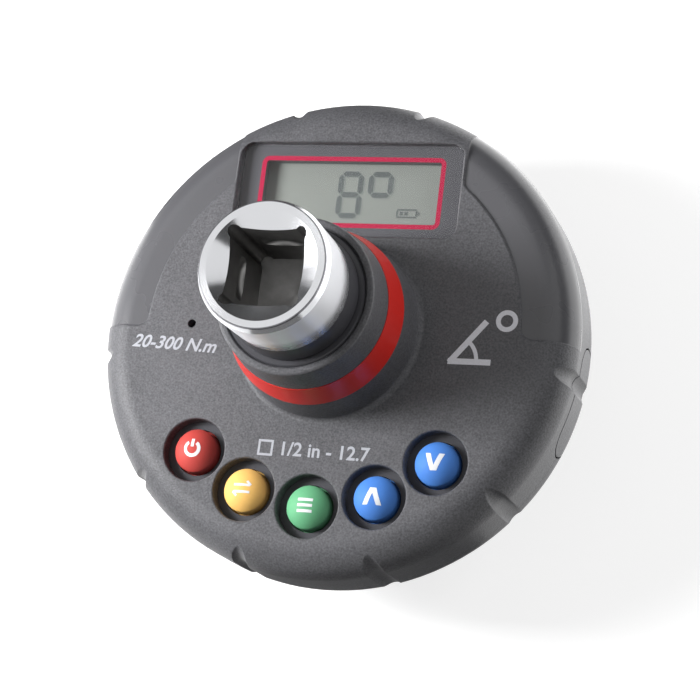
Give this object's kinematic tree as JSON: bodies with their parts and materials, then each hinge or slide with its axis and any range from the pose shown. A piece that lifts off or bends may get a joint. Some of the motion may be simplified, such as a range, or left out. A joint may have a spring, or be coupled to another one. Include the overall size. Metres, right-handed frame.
{
  "type": "torque adapter",
  "caption": "Digital torque and angle adapter: round dial housing with display and coloured keys, chromed female square tower above, male square drive below.",
  "frame": {"origin": "centre of the male square's end face, on the drive axis", "axes": "+Z runs along the drive axis towards the female square, +Y points across the dial to the display, +X points to the right of the display"},
  "size_m": [0.0876, 0.0876, 0.0737],
  "materials": {
    "housing_plastic": "moulded dark grey, fine spark-eroded grain",
    "chromed_steel": "polished chrome plate",
    "black_plastic": "moulded black, satin",
    "red_plastic": "moulded red, satin gloss",
    "clear_plate": "clear acrylic, polished",
    "printed_film": "screen print on clear film",
    "adhesive": "black adhesive tape",
    "display_glass": "grey-green reflective liquid crystal",
    "reflector": "matt foil",
    "silicone": "banded silicone",
    "circuit_board": "green solder mask",
    "chip_resin": "moulded epoxy",
    "switch_steel": "thin pressed cover",
    "plunger_plastic": "moulded white",
    "gauge_foil": "polyimide film with foil grid",
    "cell_steel": "nickel plated can",
    "contact_bronze": "phosphor bronze leaf",
    "plain_steel": "turned, zinc plated",
    "screw_steel": "zinc plated",
    "spring_steel": "oiled spring steel",
    "ball_steel": "hardened and polished",
    "seal_rubber": "moulded black rubber",
    "washer_plastic": "natural nylon",
    "key_red_plastic": "moulded, glossy",
    "key_yellow_plastic": "moulded, glossy",
    "key_green_plastic": "moulded, glossy",
    "key_blue_plastic": "moulded, glossy"
  },
  "bodies": {
    "housing": {"front_cover": "housing_plastic", "rear_cover": "housing_plastic", "torque_shaft": "chromed_steel", "shaft_sleeve": "black_plastic", "neck_bush": "black_plastic", "rear_bush": "black_plastic", "key_plate": "black_plastic", "lcd_frame": "black_plastic", "buzzer": "black_plastic", "red_band": "red_plastic", "display_window": "clear_plate", "window_print": "printed_film", "window_tape": "adhesive", "lcd_panel": "display_glass", "lcd_reflector": "reflector", "zebra_strips": "silicone", "main_board": "circuit_board", "chips": "chip_resin", "angle_sensor": "chip_resin", "key_switches": "switch_steel", "strain_gauges": "gauge_foil", "gauge_ribbon": "gauge_foil", "battery_contacts": "contact_bronze", "clamp_collar": "plain_steel", "collar_screws": "screw_steel", "housing_screws": "screw_steel", "cover_seal": "seal_rubber", "retaining_ring": "spring_steel", "thrust_washer": "washer_plastic", "detent_spring": "spring_steel"},
    "drawer": {"battery_drawer": "housing_plastic", "coin_cells": "cell_steel"},
    "ball": {"detent_ball": "ball_steel"},
    "key_red": {"key_red": "key_red_plastic", "plunger_red": "plunger_plastic"},
    "key_yellow": {"key_yellow": "key_yellow_plastic", "plunger_yellow": "plunger_plastic"},
    "key_green": {"key_green": "key_green_plastic", "plunger_green": "plunger_plastic"},
    "key_blue_up": {"key_blue_up": "key_blue_plastic", "plunger_blue_up": "plunger_plastic"},
    "key_blue_down": {"key_blue_down": "key_blue_plastic", "plunger_blue_down": "plunger_plastic"}
  },
  "joints": [
    {"name": "press_red", "type": "slide", "parent": "housing", "child": "key_red", "axis": [0, 0, -1], "range_m": [0, 0.0006], "stiffness_N_per_m": 1500, "springref_m": -0.0002},
    {"name": "press_yellow", "type": "slide", "parent": "housing", "child": "key_yellow", "axis": [0, 0, -1], "range_m": [0, 0.0006], "stiffness_N_per_m": 1500, "springref_m": -0.0002},
    {"name": "press_green", "type": "slide", "parent": "housing", "child": "key_green", "axis": [0, 0, -1], "range_m": [0, 0.0006], "stiffness_N_per_m": 1500, "springref_m": -0.0002},
    {"name": "press_blue_up", "type": "slide", "parent": "housing", "child": "key_blue_up", "axis": [0, 0, -1], "range_m": [0, 0.0006], "stiffness_N_per_m": 1500, "springref_m": -0.0002},
    {"name": "press_blue_down", "type": "slide", "parent": "housing", "child": "key_blue_down", "axis": [0, 0, -1], "range_m": [0, 0.0006], "stiffness_N_per_m": 1500, "springref_m": -0.0002},
    {"name": "detent", "type": "slide", "parent": "housing", "child": "ball", "axis": [0, 1, 0], "range_m": [0, 0.0009], "stiffness_N_per_m": 3000, "springref_m": -0.0005, "deforming": ["detent_spring"]},
    {"name": "drawer_out", "type": "slide", "parent": "housing", "child": "drawer", "axis": [0.981, -0.1942, 0], "range_m": [0, 0.02]}
  ]
}
